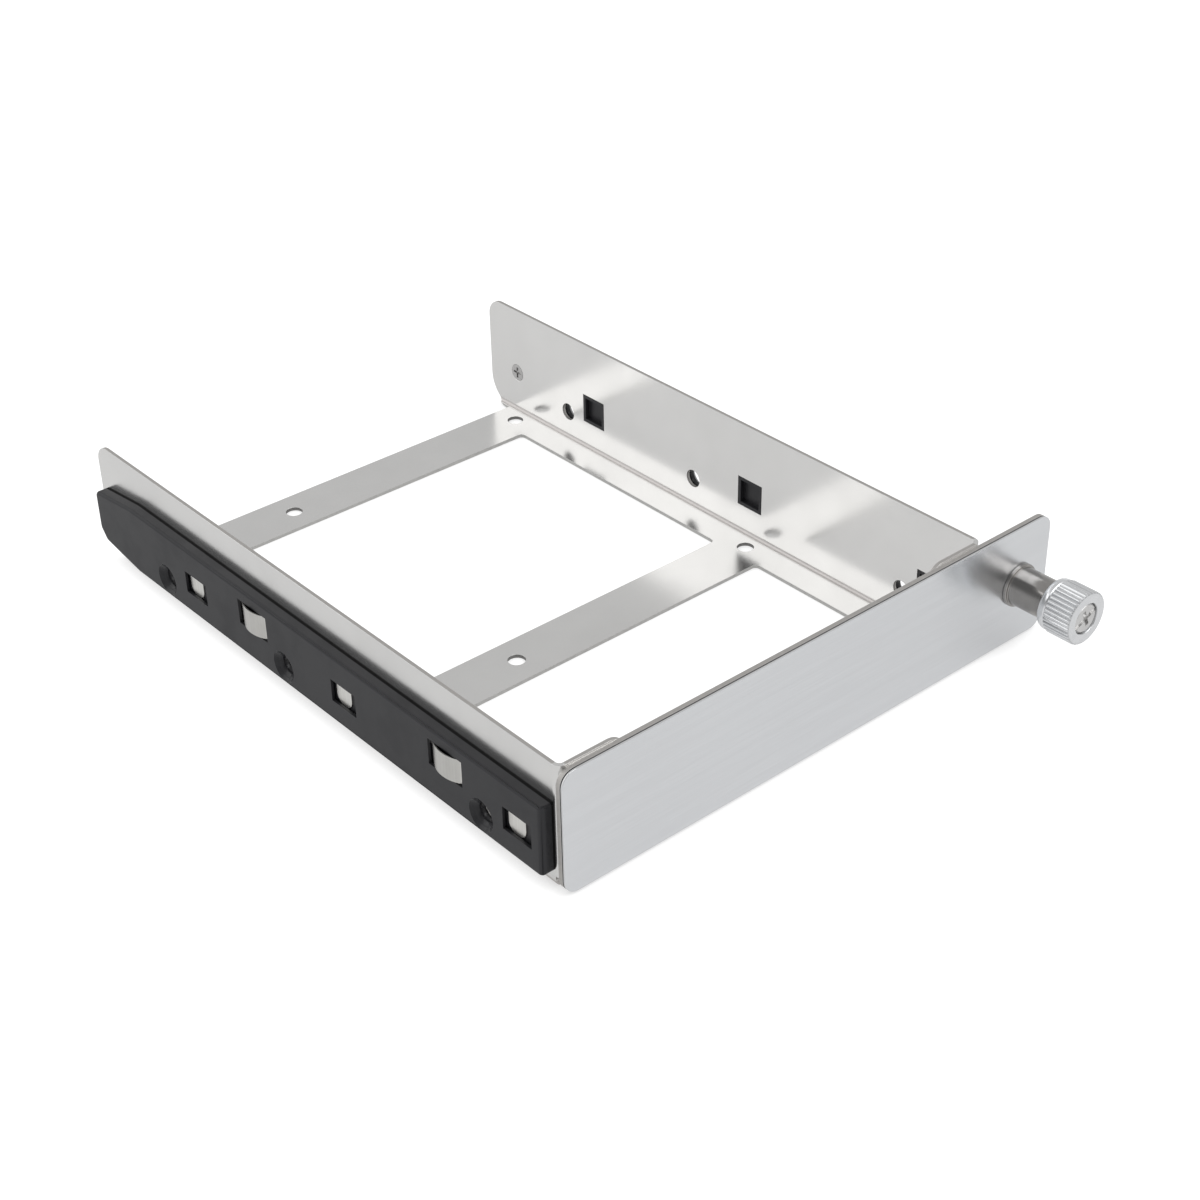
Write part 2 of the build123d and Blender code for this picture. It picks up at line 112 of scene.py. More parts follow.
class Wire:
    """A shader socket in an expression, whose operators add Math nodes."""

    def __init__(self, bench: "Bench", socket: bpy.types.NodeSocket) -> None:
        """Wraps one output socket.

        Args:
            bench: The node tree that the socket belongs to.
            socket: The output socket.
        """
        self.bench = bench
        self.socket = socket

    def maths(self, operation: str, *values: "Value", first: bool = True) -> "Wire":
        """Adds one Math node.

        Args:
            operation: The node's operation.
            values: Its other inputs.
            first: Whether this socket is the first input, or else the second.

        Returns:
            The node's output.
        """
        order = [self, *values] if first else [*values, self]
        return self.bench.node("ShaderNodeMath", {"operation": operation}, dict(enumerate(order)))

    def __add__(self, other: "Value") -> "Wire":
        """This plus another value."""
        return self.maths("ADD", other)

    def __radd__(self, other: "Value") -> "Wire":
        """Another value plus this."""
        return self.maths("ADD", other)

    def __sub__(self, other: "Value") -> "Wire":
        """This less another value."""
        return self.maths("SUBTRACT", other)

    def __rsub__(self, other: "Value") -> "Wire":
        """Another value less this."""
        return self.maths("SUBTRACT", other, first=False)

    def __mul__(self, other: "Value") -> "Wire":
        """This times another value."""
        return self.maths("MULTIPLY", other)

    def __rmul__(self, other: "Value") -> "Wire":
        """Another value times this."""
        return self.maths("MULTIPLY", other)

    def __pow__(self, other: "Value") -> "Wire":
        """This to the power of another value."""
        return self.maths("POWER", other)

    def __abs__(self) -> "Wire":
        """This without its sign."""
        return self.maths("ABSOLUTE")

    def larger(self, other: "Value") -> "Wire":
        """The larger of this and another value."""
        return self.maths("MAXIMUM", other)

    def reach(self, other: "Wire") -> "Wire":
        """How far off a point is whose two measures these are."""
        return (self * self + other * other) ** 0.5

    def ramp(self, low: float, high: float) -> "Wire":
        """A smooth rise from 0 where this is low to 1 where it is high.

        Args:
            low: Where the rise starts.
            high: Where the rise ends, which may be under low for a fall.

        Returns:
            The rise, from 0 to 1.
        """
        return self.bench.node(
            "ShaderNodeMapRange",
            {"interpolation_type": "SMOOTHSTEP"},
            {"Value": self, "From Min": low, "From Max": high},
        )

    def band(self, low: float, high: float, soft: float) -> "Wire":
        """1 between two values and 0 outside them.

        Args:
            low: The lower value.
            high: The upper value.
            soft: The width over which the band fades at each end.

        Returns:
            The band, from 0 to 1.
        """
        return self.ramp(low - soft, low) * self.ramp(high + soft, high)


Value = Union[Wire, float]


class Bench:
    """The node tree of one material, with the piece's place in millimetres ready to use."""

    def __init__(self, name: str) -> None:
        """Starts a material with an empty tree.

        Args:
            name: The material's name.
        """
        self.material = bpy.data.materials.new(name)
        self.material.use_nodes = True
        self.tree = self.material.node_tree
        self.tree.nodes.clear()
        where = self.node("ShaderNodeTexCoord", {}, {}, "Object")
        self.place = self.vector_maths("SCALE", where, Scale=1 / MM)
        parts = self.node("ShaderNodeSeparateXYZ", {}, {0: self.place}, "X")
        self.x = parts
        self.y = Wire(self, parts.socket.node.outputs["Y"])
        self.z = Wire(self, parts.socket.node.outputs["Z"])

    def node(
        self,
        kind: str,
        settings: dict[str, object],
        inputs: dict[Union[str, int], object],
        output: Union[str, int] = 0,
    ) -> Wire:
        """Adds one node.

        Args:
            kind: The node's type.
            settings: Its properties, which are set first.
            inputs: The values or links of its sockets, by name or number.
            output: The output to return.

        Returns:
            The chosen output.
        """
        made = self.tree.nodes.new(kind)
        for key, value in settings.items():
            setattr(made, key, value)
        for key, value in inputs.items():
            if isinstance(value, Wire):
                self.tree.links.new(value.socket, made.inputs[key])
            else:
                made.inputs[key].default_value = value
        return Wire(self, made.outputs[output] if len(made.outputs) else made.inputs[0])

    def vector_maths(self, operation: str, first: Wire, second: object = None, **named: object) -> Wire:
        """Adds one Vector Math node.

        Args:
            operation: The node's operation.
            first: Its first vector.
            second: Its second vector, if it has one.
            named: Other sockets by name.

        Returns:
            The resulting vector.
        """
        inputs: dict[Union[str, int], object] = {0: first, **named}
        if second is not None:
            inputs[1] = second
        return self.node("ShaderNodeVectorMath", {"operation": operation}, inputs, "Vector")

    def spots(self, first: Wire, second: Wire, centres: Profile, outer: float, inner: float) -> Wire:
        """Round spots in one plane.

        Args:
            first: The plane's first measure.
            second: Its second measure.
            centres: The spots' centres.
            outer: The radius where a spot has faded out.
            inner: The radius where it is whole.

        Returns:
            1 in the spots and 0 elsewhere.
        """
        whole: Optional[Wire] = None
        for across, along in centres:
            one = (first - across).reach(second - along).ramp(outer, inner)
            whole = one if whole is None else whole.larger(one)
        return whole

    def noise(
        self, per_mm: float, grain: Grain = Grain.EVEN, detail: float = 3.0, rough: float = 0.55
    ) -> Wire:
        """A noise over the piece.

        Args:
            per_mm: How many waves there are in a millimetre, across the grain.
            grain: The direction that the lines run in.
            detail: How many finer layers are added.
            rough: How strong the finer layers are.

        Returns:
            The noise, about 0.5 on average.
        """
        stretched = self.vector_maths("MULTIPLY", self.place, tuple(per_mm * share for share in grain.value))
        inputs = {"Vector": stretched, "Scale": 1.0, "Detail": detail, "Roughness": rough}
        return self.node("ShaderNodeTexNoise", {}, inputs, "Fac")

    def wave(self, value: Wire, per_mm: float) -> Wire:
        """An uneven ripple along one measure, as a cutting tool leaves it.

        Args:
            value: The measure, in millimetres.
            per_mm: How many ripples there are in a millimetre.

        Returns:
            The ripple, about 0.5 on average.
        """
        inputs = {"W": value * per_mm, "Scale": 1.0, "Detail": 2.0}
        return self.node("ShaderNodeTexNoise", {"noise_dimensions": "1D"}, inputs, "Fac")

    def blend(self, share: Value, first: object, second: object) -> Wire:
        """A mix of two colours.

        Args:
            share: How much of the second there is.
            first: The first colour.
            second: The second colour.

        Returns:
            The mixed colour.
        """
        inputs = {"Factor": share, "A": self.opaque(first), "B": self.opaque(second)}
        made = self.tree.nodes.new("ShaderNodeMix")
        made.data_type = "RGBA"
        for socket in made.inputs:
            if socket.enabled and socket.name in inputs:
                value = inputs[socket.name]
                if isinstance(value, Wire):
                    self.tree.links.new(value.socket, socket)
                else:
                    socket.default_value = value
        return Wire(self, next(socket for socket in made.outputs if socket.enabled))

    @staticmethod
    def opaque(colour: object) -> object:
        """A colour with full alpha, or a link as it is."""
        return colour if isinstance(colour, Wire) else (*colour, 1.0)

    def bump(self, height: Wire, relief: float, under: Optional[Wire] = None) -> Wire:
        """A relief that only the light sees.

        Args:
            height: The relief's shape, from 0 to 1.
            relief: Its height in millimetres.
            under: A relief that this one lies on.

        Returns:
            The normal.
        """
        inputs: dict[Union[str, int], object] = {"Strength": 1.0, "Distance": relief * MM, "Height": height}
        if under is not None:
            inputs["Normal"] = under
        return self.node("ShaderNodeBump", {}, inputs, "Normal")

    def close(self, varying: dict[str, Wire], fixed: dict[str, object]) -> bpy.types.Material:
        """Ends the tree in a surface.

        Args:
            varying: The sockets that change over the piece.
            fixed: The sockets that are the same all over it.

        Returns:
            The material.
        """
        shader = self.node("ShaderNodeBsdfPrincipled", {}, {**varying, **fixed}, "BSDF")
        self.node("ShaderNodeOutputMaterial", {}, {"Surface": shader})
        return self.material


class SkyBench(Bench):
    """The node tree of the world."""

    def __init__(self, name: str) -> None:
        """Starts a world with an empty tree.

        Args:
            name: The world's name.
        """
        self.world = bpy.data.worlds.new(name)
        self.world.use_nodes = True
        self.tree = self.world.node_tree
        self.tree.nodes.clear()


@dataclass(frozen=True)
class SheetZones:
    """Where a sheet isn't plain rolled face, as 1 there and 0 elsewhere."""

    ground: Value = 0.0
    shorn: Value = 0.0
    bend: Value = 0.0
    # Painted shade on the walls of holes.
    hole_wall_shade: Value = 0.0


@dataclass(frozen=True)
class SheetSteel:
    """Rolled stainless sheet: a satin mirror with rolling lines, faint clouds, duller cut edges and painted
    shade on the walls of holes.
    """

    name: str
    colour: Colour = (0.80, 0.795, 0.785)
    cloud_colour: Colour = (0.765, 0.76, 0.75)
    cut_colour: Colour = (0.60, 0.583, 0.563)
    # The colour of the painted shade on the walls of holes.
    hole_wall_shade_colour: Colour = (0.26, 0.255, 0.25)
    shorn_colour: Colour = (0.68, 0.675, 0.66)
    # The inner bend's colour: a warm stain together with painted shade in the crease.
    bend_colour: Colour = (0.58, 0.555, 0.54)
    roughness: float = 0.17
    cloud_roughness: float = 0.02
    smudge_roughness: float = 0.02
    line_roughness: float = 0.02
    cut_roughness: float = 0.5
    bend_roughness: float = 0.24
    rolling_relief: float = 0.00012
    cloud_per_mm: float = 0.035
    smudge_per_mm: float = 0.16
    rolling_per_mm: float = 2.4
    shear_per_mm: float = 1.3

    def material(self, mark: Callable[[Bench], SheetZones]) -> bpy.types.Material:
        """Makes the finish.

        Args:
            mark: Works out the sheet's zones.

        Returns:
            The material.
        """
        bench = Bench(self.name)
        zones = mark(bench)
        cloud = bench.noise(self.cloud_per_mm, detail=2.0).ramp(0.35, 0.65)
        smudge = bench.noise(self.smudge_per_mm, detail=2.0).ramp(0.3, 0.75)
        rolling = bench.noise(self.rolling_per_mm, Grain.ALONG_Y, detail=3.0)
        face = bench.blend(cloud * 0.6 + smudge * 0.4, self.colour, self.cloud_colour)
        shear = bench.noise(self.shear_per_mm, detail=4.0)
        edge = bench.blend(shear, self.cut_colour, darker(self.cut_colour, 0.78))
        torn = bench.blend(shear, self.shorn_colour, darker(self.shorn_colour, 0.7))
        # Painted shade: the walls of holes are darkened.
        torn = bench.blend(zones.hole_wall_shade, torn, self.hole_wall_shade_colour)
        rough = self.roughness + self.cloud_roughness * cloud + self.smudge_roughness * smudge
        rough = rough + self.line_roughness * rolling + self.bend_roughness * zones.bend
        # Along the inner bend the face is darker, warmer and rougher: a warm stain and painted shade in the
        # crease.
        face = bench.blend(zones.bend, face, self.bend_colour)
        cut = zones.ground + zones.shorn
        varying = {
            "Base Color": bench.blend(zones.shorn, bench.blend(zones.ground, face, edge), torn),
            "Roughness": rough * (1 - cut) + (self.cut_roughness + 0.1 * shear) * cut,
            "Normal": bench.bump(rolling, self.rolling_relief),
        }
        return bench.close(varying, {"Metallic": 1.0})


@dataclass(frozen=True)
class BrushedPlate:
    """Brushed fascia: straight fine lines along X that catch the light unevenly."""

    name: str
    colour: Colour = (0.80, 0.812, 0.83)
    line_colour: Colour = (0.745, 0.757, 0.775)
    edge_colour: Colour = (0.74, 0.745, 0.75)
    roughness: float = 0.24
    line_roughness: float = 0.03
    relief: float = 0.00012
    fine_per_mm: float = 3.2
    broad_per_mm: float = 0.55
    face_y: float = -59.35
    edge_depth: float = 0.06

    def material(self) -> bpy.types.Material:
        """Makes the finish."""
        bench = Bench(self.name)
        fine = bench.noise(self.fine_per_mm, Grain.ALONG_X, detail=3.0, rough=0.7)
        broad = bench.noise(self.broad_per_mm, Grain.ALONG_X, detail=2.0)
        drift = bench.noise(0.02, detail=1.0).ramp(0.3, 0.7)
        lines = (0.65 * fine + 0.35 * broad).ramp(0.32, 0.68)
        edge = bench.y.ramp(self.face_y + 0.02, self.face_y + self.edge_depth)
        colour = bench.blend(lines * 0.6 + drift * 0.25, self.colour, self.line_colour)
        varying = {
            "Base Color": bench.blend(edge, colour, self.edge_colour),
            "Roughness": (self.roughness + self.line_roughness * lines) * (1 - edge) + 0.4 * edge,
            "Normal": bench.bump(lines * (1 - edge), self.relief),
        }
        fixed = {"Metallic": 1.0, "Anisotropic": 0.7, "Anisotropic Rotation": 0.25}
        return bench.close(varying, fixed)


@dataclass(frozen=True)
class MouldedPlastic:
    """Satin moulded plastic with a spark-eroded grain, flow marks, rubbed corners and a painted shade line
    where its rim meets the wall.
    """

    name: str
    colour: Colour = (0.0215, 0.0217, 0.0245)
    flow_colour: Colour = (0.0260, 0.0262, 0.0295)
    rubbed_colour: Colour = (0.038, 0.038, 0.042)
    roughness: float = 0.40
    specular: float = 0.32
    relief: float = 0.0016
    grain_per_mm: float = 3.4
    # Painted shade in the crevice at the wall: its near-black colour, width, reach and roughness.
    crevice_shade_colour: Colour = (0.002, 0.002, 0.002)
    wall_out: float = 51.8
    crevice_shade_width: float = 0.42
    crevice_shade_top: float = 14.2
    crevice_shade_foot: float = 6.5
    crevice_shade_end: float = -52.5
    crevice_shade_roughness: float = 0.95
    cone_roughness: float = 0.24
    hole_y: tuple[float, ...] = (62.1, 20.5, -39.5)
    hole_z: float = 7.15
    cone_radius: float = 3.3

    def cones(self, bench: Bench) -> Wire:
        """Where the drive holes' countersinks are, which come smooth from the mould."""
        centres = [(y, self.hole_z) for y in self.hole_y]
        return bench.spots(bench.y, bench.z, centres, self.cone_radius + 0.02, self.cone_radius - 0.06)

    def crevice_shade(self, bench: Bench) -> Wire:
        """The painted shade line in the crevice where the moulding's rim meets the wall, clear of the window
        bosses.

        Args:
            bench: The finish's node tree.

        Returns:
            1 in the line and 0 elsewhere.
        """
        across = abs(bench.x)
        line = across.ramp(self.wall_out + self.crevice_shade_width, self.wall_out + 0.6 * self.crevice_shade_width)
        top = bench.z.ramp(self.crevice_shade_top, self.crevice_shade_top + 0.3)
        foot = bench.z.ramp(self.crevice_shade_foot, self.crevice_shade_foot - 0.3)
        end = bench.y.ramp(self.crevice_shade_end, self.crevice_shade_end - 0.5)
        return line * across.ramp(self.wall_out - 0.06, self.wall_out - 0.01) * top.larger(foot).larger(end)

    def material(self) -> bpy.types.Material:
        """Makes the finish."""
        bench = Bench(self.name)
        cones, crevice_shade = self.cones(bench), self.crevice_shade(bench)
        grain = bench.noise(self.grain_per_mm, detail=3.0, rough=0.6)
        flow = bench.noise(0.05, Grain.ALONG_Y, detail=2.0).ramp(0.3, 0.7)
        patch = bench.noise(0.12, detail=3.0).ramp(0.4, 0.7)
        wear_and_shade = bench.noise(0.9, Grain.ALONG_Y, detail=6.0, rough=0.75).ramp(0.68, 0.78)
        colour = bench.blend(flow, self.colour, self.flow_colour)
        colour = bench.blend(0.35 * wear_and_shade, colour, self.rubbed_colour)
        rough = (self.roughness + 0.06 * patch + 0.05 * grain) * (1 - cones) + self.cone_roughness * cones
        varying = {
            # Painted shade: near black and matt in the crevice line along the wall.
            "Base Color": bench.blend(crevice_shade, colour, self.crevice_shade_colour),
            "Roughness": rough * (1 - crevice_shade) + self.crevice_shade_roughness * crevice_shade,
            "Normal": bench.bump(grain, self.relief),
        }
        return bench.close(varying, {"Metallic": 0.0, "Specular IOR Level": self.specular})


@dataclass(frozen=True)
class MattBond:
    """Matt black bonding sheet with a torn, fibrous edge."""

    name: str
    colour: Colour = (0.016, 0.016, 0.017)
    fibre_colour: Colour = (0.05, 0.05, 0.052)
    roughness: float = 0.75

    def material(self) -> bpy.types.Material:
        """Makes the finish."""
        bench = Bench(self.name)
        fibre = bench.noise(2.2, detail=5.0, rough=0.7)
        varying = {
            "Base Color": bench.blend(fibre.ramp(0.5, 0.75), self.colour, self.fibre_colour),
            "Roughness": self.roughness + 0.15 * fibre,
            "Normal": bench.bump(fibre, 0.02),
        }
        return bench.close(varying, {"Metallic": 0.0})


@dataclass(frozen=True)
class LinedMetal:
    """Plated or drawn metal whose fine lines run in one direction, with painted shade past a given depth
    where asked.
    """

    name: str
    colour: Colour
    line_colour: Colour
    roughness: float
    grain: Grain = Grain.EVEN
    line_roughness: float = 0.06
    line_per_mm: float = 2.5
    relief: float = 0.0006
    # Painted shade on parts that stand out past this depth, such as the spring's bows: where it starts and
    # how strong it is.
    bow_shade_from: float = 53.95
    bow_shade_share: float = 0.0

    def material(self) -> bpy.types.Material:
        """Makes the finish."""
        bench = Bench(self.name)
        lines = bench.noise(self.line_per_mm, self.grain, detail=3.0, rough=0.65)
        # Painted shade: beyond the given depth the colour is darkened towards half its strength.
        wear_and_shade = abs(bench.x).ramp(self.bow_shade_from - 0.1, self.bow_shade_from + 0.1) * self.bow_shade_share
        cloud = bench.noise(0.25, detail=3.0).ramp(0.35, 0.65)
        plain = bench.blend(0.6 * lines.ramp(0.35, 0.65) + 0.4 * cloud, self.colour, self.line_colour)
        varying = {
            "Base Color": bench.blend(wear_and_shade, plain, darker(self.colour, 0.5)),
            "Roughness": self.roughness + self.line_roughness * lines + 0.04 * cloud,
            "Normal": bench.bump(lines, self.relief),
        }
        return bench.close(varying, {"Metallic": 1.0})


@dataclass(frozen=True)
class TurnedMetal:
    """Turned and plated metal, with the cutting tool's rings about the screw's axis and painted shade in the
    knurl's grooves where asked.
    """

    name: str
    colour: Colour
    ring_colour: Colour
    roughness: float
    axis_x: float
    axis_z: float
    ring_roughness: float = 0.06
    ring_per_mm: float = 5.0
    relief: float = 0.0008
    # Painted shade in the knurl's grooves: where it lies and how dark it is.
    groove_radius: float = 0.0
    groove_share: float = 0.0
    groove_fade: float = 0.14
    groove_shade_level: float = 0.45
    groove_y: tuple[float, float] = (0.0, 0.0)

    def material(self) -> bpy.types.Material:
        """Makes the finish."""
        bench = Bench(self.name)
        radius = (bench.x - self.axis_x).reach(bench.z - self.axis_z)
        rings = 0.5 * bench.wave(bench.y, self.ring_per_mm) + 0.5 * bench.wave(radius, self.ring_per_mm)
        bloom = bench.noise(0.6, detail=4.0, rough=0.6).ramp(0.4, 0.7)
        plain = bench.blend(0.6 * rings.ramp(0.35, 0.65) + 0.4 * bloom, self.colour, self.ring_colour)
        knurled = bench.y.band(self.groove_y[0], self.groove_y[1], 0.05)
        # Painted shade: the knurl's grooves are darkened below the rib tops.
        groove_shade = radius.ramp(self.groove_radius, self.groove_radius - self.groove_fade) * knurled
        groove_shade = groove_shade * self.groove_share
        varying = {
            "Base Color": bench.blend(groove_shade, plain, darker(self.colour, self.groove_shade_level)),
            "Roughness": self.roughness + self.ring_roughness * rings + 0.05 * bloom,
            "Normal": bench.bump(rings, self.relief),
        }
        return bench.close(varying, {"Metallic": 1.0})


def dress(piece: bpy.types.Object, material: bpy.types.Material) -> None:
    """Gives a piece its finish.

    Args:
        piece: The object.
        material: Its finish.
    """
    if not piece.material_slots:
        piece.data.materials.append(material)
    for holder in piece.material_slots:
        holder.link = "OBJECT"
        holder.material = material
    log.info("%s: %s", piece.name, material.name)


def soften(node: str, width: float, steps: int = 2, sharp: float = 30.0) -> bpy.types.Object:
    """Rounds the edges of a CAD node with modifiers, so that they catch the light.

    Args:
        node: The CAD node's name.
        width: The rounding's width in millimetres.
        steps: How many faces it is rounded with.
        sharp: The angle in degrees from which an edge is rounded.

    Returns:
        The node's object.
    """
    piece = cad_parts[node]
    weld = piece.modifiers.new("merged_corners", "WELD")
    weld.merge_threshold = MERGE_MM * MM
    flat = piece.modifiers.new("joined_facets", "DECIMATE")
    flat.decimate_type = "DISSOLVE"
    flat.angle_limit = FLAT_ANGLE
    return rounded(piece, width, steps, sharp)


def rounded(piece: bpy.types.Object, width: float, steps: int, sharp: float) -> bpy.types.Object:
    """Rounds a piece's sharp edges with modifiers and evens its normals.

    Args:
        piece: The object.
        width: The rounding's width in millimetres.
        steps: How many faces it is rounded with.
        sharp: The angle in degrees from which an edge is rounded.

    Returns:
        The same object.
    """
    round_off = piece.modifiers.new("rounded_edges", "BEVEL")
    round_off.width = width * MM
    round_off.segments = steps
    round_off.limit_method = "ANGLE"
    round_off.angle_limit = math.radians(sharp)
    round_off.miter_outer = "MITER_ARC"
    round_off.harden_normals = True
    normals = piece.modifiers.new("even_light", "WEIGHTED_NORMAL")
    normals.weight = 80
    normals.keep_sharp = True
    return piece


def placed(name: str, data: bpy.types.ID) -> bpy.types.Object:
    """Puts an object that holds some data into the scene.

    Args:
        name: The object's name.
        data: Its mesh, lamp or camera.

    Returns:
        The object.
    """
    thing = bpy.data.objects.new(name, data)
    bpy.context.scene.collection.objects.link(thing)
    return thing


def cad_mesh(node: str) -> bmesh.types.BMesh:
    """Copies a CAD node's mesh in millimetres, with its loose triangles joined.

    Args:
        node: The CAD node's name.

    Returns:
        The copy.
    """
    mesh = bmesh.new()
    mesh.from_mesh(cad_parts[node].data)
    bmesh.ops.scale(mesh, vec=Vector((1 / MM, 1 / MM, 1 / MM)), verts=mesh.verts)
    bmesh.ops.remove_doubles(mesh, verts=mesh.verts, dist=MERGE_MM)
    return mesh


def cut_off(mesh: bmesh.types.BMesh, through: Point, facing: Point) -> None:
    """Cuts a solid at a plane and closes the cut.

    Args:
        mesh: The solid.
        through: A point of the plane.
        facing: The plane's normal, towards what is cut off.
    """
    sliced = bmesh.ops.bisect_plane(
        mesh,
        geom=mesh.verts[:] + mesh.edges[:] + mesh.faces[:],
        plane_co=Vector(through),
        plane_no=Vector(facing).normalized(),
        clear_outer=True,
    )
    rim = [item for item in sliced["geom_cut"] if isinstance(item, bmesh.types.BMEdge)]
    bmesh.ops.holes_fill(mesh, edges=rim, sides=0)


def add_part(whole: bmesh.types.BMesh, part: bmesh.types.BMesh) -> None:
    """Adds one bmesh to another.

    Args:
        whole: The bmesh that grows.
        part: The bmesh to add, which is used up.
    """
    data = bpy.data.meshes.new("loose_part")
    part.to_mesh(data)
    part.free()
    whole.from_mesh(data)
    bpy.data.meshes.remove(data)


def finished(name: str, mesh: bmesh.types.BMesh, body: Body, sharp: float = 35.0) -> bpy.types.Object:
    """Turns a bmesh in millimetres into a piece that rides on a body.

    Args:
        name: The piece's name.
        mesh: The bmesh, which is used up.
        body: The body that it rides on.
        sharp: The angle in degrees from which an edge stays sharp to the eye.

    Returns:
        The piece.
    """
    bmesh.ops.scale(mesh, vec=Vector((MM, MM, MM)), verts=mesh.verts)
    for face in mesh.faces:
        face.smooth = True
    for edge in mesh.edges:
        edge.smooth = len(edge.link_faces) == 2 and edge.calc_face_angle(0.0) < math.radians(sharp)
    data = bpy.data.meshes.new(name)
    mesh.to_mesh(data)
    mesh.free()
    piece = placed(name, data)
    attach(piece, body.value)
    return piece


@dataclass
class Lathe:
    """Turns profiles about the thumbscrew's axis or one beside it."""

    centre: Point
    steps: int = 96

    def turn(self, profile: Profile, closed: bool) -> bmesh.types.BMesh:
        """Turns one profile of radius and depth in front of the centre.

        Args:
            profile: The profile's corners, as (radius, place along Y).
            closed: Whether the profile closes on itself, away from the axis.

        Returns:
            The turned solid.
        """
        mesh = bmesh.new()
        centre = Vector(self.centre)
        corners = [mesh.verts.new(centre + Vector((radius, along, 0))) for radius, along in profile]
        for pair in zip(corners, corners[1:] + corners[:1] if closed else corners[1:]):
            mesh.edges.new(pair)
        bmesh.ops.spin(
            mesh,
            geom=mesh.verts[:] + mesh.edges[:],
            cent=centre,
            axis=Vector((0, 1, 0)),
            angle=math.tau,
            steps=self.steps,
            use_merge=True,
        )
        bmesh.ops.remove_doubles(mesh, verts=mesh.verts, dist=0.0005)
        bmesh.ops.recalc_face_normals(mesh, faces=mesh.faces)
        return mesh


def wind(section: bmesh.types.BMesh, centre: Point, rise: float, turns: float, steps: int) -> None:
    """Winds the edges in a bmesh into a helix about an axis along Y.

    Args:
        section: The bmesh that holds the section's edges.
        centre: A point of the axis.
        rise: How far the helix goes along Y in one turn.
        turns: How many turns there are.
        steps: How many steps there are in a turn.
    """
    bmesh.ops.spin(
        section,
        geom=section.verts[:] + section.edges[:],
        cent=Vector(centre),
        axis=Vector((0, 1, 0)),
        dvec=Vector((0, rise / steps, 0)),
        angle=math.tau * turns,
        steps=round(steps * turns),
        use_merge=False,
    )


@dataclass
class FoldedTray:
    """The folded sheet with its walls, straps and front flanges."""

    bay_half: float = 51.0
    wall_out: float = 51.8
    sheet: float = 0.8
    bend: float = 1.7
    panel_back: float = -57.75
    flange_low: float = 2.5
    skin: float = 0.07
    edge_rounding: float = 0.09
    hole_x: tuple[float, float] = (-14.79, 46.93)
    hole_y: tuple[float, float] = (0.0, 76.6)
    hole_reach: float = 2.1

    def zones(self, bench: Bench) -> SheetZones:
        """Where the tray's sheet is cut through, between its two faces, where it is bent, and where its hole
        walls get painted shade.

        Args:
            bench: The finish's node tree.

        Returns:
            The sheet's zones.
        """
        soft = 0.03
        across = abs(bench.x)
        inside = across.ramp(self.wall_out - self.bend + soft, self.wall_out - self.bend)
        wall = across.band(self.bay_half + self.skin, self.wall_out - self.skin, soft)
        wall = wall * bench.z.ramp(self.bend, self.bend + soft)
        wall = wall * bench.y.ramp(self.panel_back + self.bend - soft, self.panel_back + self.bend)
        floor = bench.z.band(self.skin, self.sheet - self.skin, soft) * inside
        flange = bench.y.band(self.panel_back + self.skin, self.panel_back + self.sheet - self.skin, soft)
        flange = flange * inside * bench.z.ramp(self.flange_low - 0.5, self.flange_low)
        # The inner bend's crease, which gets a warm stain and painted shade.
        fold = across.ramp(self.bay_half - 1.05, self.bay_half - 0.45)
        fold = fold * bench.z.ramp(self.bend + 0.15, self.bend - 0.45)
        centres = [(x, y) for x in self.hole_x for y in self.hole_y]
        # Painted shade on the walls of the strap holes.
        hole_wall_shade = bench.spots(bench.x, bench.y, centres, self.hole_reach, self.hole_reach - 0.2)
        return SheetZones(wall.larger(flange), floor, fold, hole_wall_shade)

    def build(self) -> None:
        """Softens the tray's edges and dresses it."""
        piece = soften("tray", self.edge_rounding)
        dress(piece, SheetSteel("rolled_stainless").material(self.zones))


@dataclass
class FrontPanel:
    """The panel's steel plate, bonding sheet, brushed fascia and rivets."""

    plate_back: float = -57.75
    plate_front: float = -58.75
    rivet_x: float = 44.35
    rivet_z: tuple[float, float] = (6.8, 19.4)
    rivet_radius: float = 1.2
    head_radius: float = 2.3
    back_face: float = -56.95
    head_height: float = 0.5
    front_head: float = -58.9
    skin: float = 0.06
    dome: Profile = ((0.0, 0.0), (0.34, 0.02), (0.62, 0.10), (0.84, 0.24), (0.97, 0.42))

    def zones(self, bench: Bench) -> SheetZones:
        """Where the plate's edge is cut, between its two faces."""
        front, back = self.plate_front + self.skin, self.plate_back - self.skin
        return SheetZones(ground=bench.y.band(front, back, 0.03))

    def rivets(self) -> bpy.types.Object:
        """Makes the four rivets with domed heads behind the flanges.

        Returns:
            The rivets as one piece.
        """
        whole = bmesh.new()
        top = self.back_face + self.head_height
        rim, seat = 0.99 * self.head_radius, self.back_face + 0.01
        profile = [(share * self.head_radius, top - fall) for share, fall in self.dome]
        profile += [(rim, seat), (self.rivet_radius, seat), (self.rivet_radius, self.plate_front)]
        profile += [(rim, self.plate_front), (rim, self.front_head), (0.0, self.front_head)]
        for x in (-self.rivet_x, self.rivet_x):
            for z in self.rivet_z:
                add_part(whole, Lathe((x, 0.0, z), steps=40).turn(profile, closed=False))
        return finished("domed_rivets", whole, Body.CADDY)

    def build(self) -> None:
        """Dresses the layers and sets the rivets."""
        plate = SheetSteel("plate_stainless").material(self.zones)
        dress(soften("front_plate", 0.08), plate)
        dress(soften("bonding_sheet", 0.03, steps=1), MattBond("bonding_sheet_black").material())
        dress(soften("fascia", 0.07), BrushedPlate("brushed_fascia_plate").material())
        rivets = self.rivets()
        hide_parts("panel_rivets")
        finish = LinedMetal("rivet_metal", (0.52, 0.515, 0.505), (0.44, 0.435, 0.425), 0.3)
        dress(rivets, finish.material())


